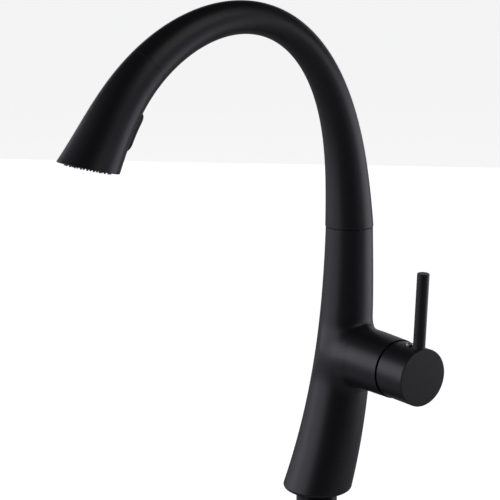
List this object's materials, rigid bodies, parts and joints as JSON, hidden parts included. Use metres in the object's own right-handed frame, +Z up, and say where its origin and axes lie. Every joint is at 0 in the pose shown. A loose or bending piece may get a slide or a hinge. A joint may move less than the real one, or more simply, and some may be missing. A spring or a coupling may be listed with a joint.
{
  "type": "pull down kitchen faucet",
  "caption": "Single-hole kitchen faucet with a leaning tapered body, side pin lever, swivelling arched spout and pull-down spray head with a rocker button.",
  "frame": {"origin": "centre of the round base on the top face of the worktop", "axes": "+Z up, the spout reaches towards -Y, the lever's hub points to +X"},
  "size_m": [0.1237, 0.2792, 0.4864],
  "materials": {
    "black_coat": "matte powder coat",
    "black_plastic": "fine moulded satin",
    "white_plastic": "moulded",
    "grey_nozzles": "soft matte",
    "brass": "machined",
    "steel": "machined",
    "ceramic": "polished ceramic",
    "rubber": "matte",
    "magnet": "sintered",
    "chrome_trim": "satin black",
    "hose_braid": "woven nylon braid"
  },
  "bodies": {
    "root": {"body_shell": "black_coat", "base_gasket": "rubber", "mounting_shank": "brass", "rubber_washer": "rubber", "steel_washer": "steel", "mounting_nut": "brass", "valve_body": "brass", "cartridge_base": "white_plastic", "fixed_ceramic_disc": "ceramic", "cartridge_housing": "white_plastic", "cartridge_nut": "brass", "dome_cap": "chrome_trim", "swivel_sleeve": "brass", "swivel_bushes": "white_plastic", "swivel_seal": "rubber", "snap_ring": "steel", "hot_inlet_nipple": "brass", "cold_inlet_nipple": "brass", "outlet_nipple": "brass", "hose_end_fitting": "brass"},
    "turner": {"turning_sleeve": "white_plastic", "pivot_pin": "steel"},
    "disc": {"moving_ceramic_disc": "ceramic"},
    "lever": {"handle_hub": "black_coat", "lever_rod": "black_coat", "lever_stem": "steel", "set_screw": "steel", "hub_plug": "black_plastic"},
    "spout": {"spout_tube": "black_coat", "docking_collar": "black_plastic", "dock_magnet": "magnet", "pull_hose": "hose_braid"},
    "hose_end": {"hose_ferrule": "steel", "hose_stem": "steel", "hose_nut": "steel"},
    "spray_head": {"head_shell": "black_coat", "docking_spigot": "black_plastic", "spigot_magnet": "magnet", "inlet_barrel": "white_plastic", "inlet_filter": "steel", "check_valve": "white_plastic", "head_core": "white_plastic", "rocker_pin": "steel", "spray_plate": "black_plastic", "nozzle_mat": "grey_nozzles", "aerator_insert": "grey_nozzles", "face_ring": "black_plastic"},
    "rocker": {"rocker_button": "black_plastic"},
    "diverter": {"diverter_spool": "white_plastic"}
  },
  "joints": [
    {"name": "spout_swivel", "type": "hinge", "parent": "root", "child": "spout", "pos_m": [0, 0.0305, 0.212], "axis": [0, 0, 1], "continuous": true},
    {"name": "hose_pull", "type": "slide", "parent": "spout", "child": "hose_end", "axis": [0, -0.7652, -0.6438], "range_m": [0, 0.4], "deforming": ["pull_hose"]},
    {"name": "head_turn", "type": "hinge", "parent": "hose_end", "child": "spray_head", "pos_m": [0, -0.15677, 0.35023], "axis": [0, -0.7652, -0.6438], "continuous": true},
    {"name": "rocker_tilt", "type": "hinge", "parent": "spray_head", "child": "rocker", "pos_m": [0, -0.17717, 0.30932], "axis": [1, 0, 0], "range_deg": [-4, 4]},
    {"name": "diverter_slide", "type": "slide", "parent": "spray_head", "child": "diverter", "axis": [0, -0.4831, -0.8756], "range_m": [-0.0006, 0.0006]},
    {"name": "temperature_turn", "type": "hinge", "parent": "root", "child": "turner", "pos_m": [0.068, 0.02613, 0.111], "axis": [1, 0, 0], "range_deg": [-45, 45]},
    {"name": "flow_lift", "type": "hinge", "parent": "turner", "child": "lever", "pos_m": [0.068, 0.02613, 0.111], "axis": [0, 1, 0], "range_deg": [0, 20]},
    {"name": "disc_slide", "type": "slide", "parent": "turner", "child": "disc", "axis": [0, 0, 1], "range_m": [0, 0.0072]}
  ],
  "couplings": [
    {"joint": "diverter_slide", "follows": "rocker_tilt", "m_per_rad": 0.007},
    {"joint": "disc_slide", "follows": "flow_lift", "m_per_rad": 0.0197}
  ]
}
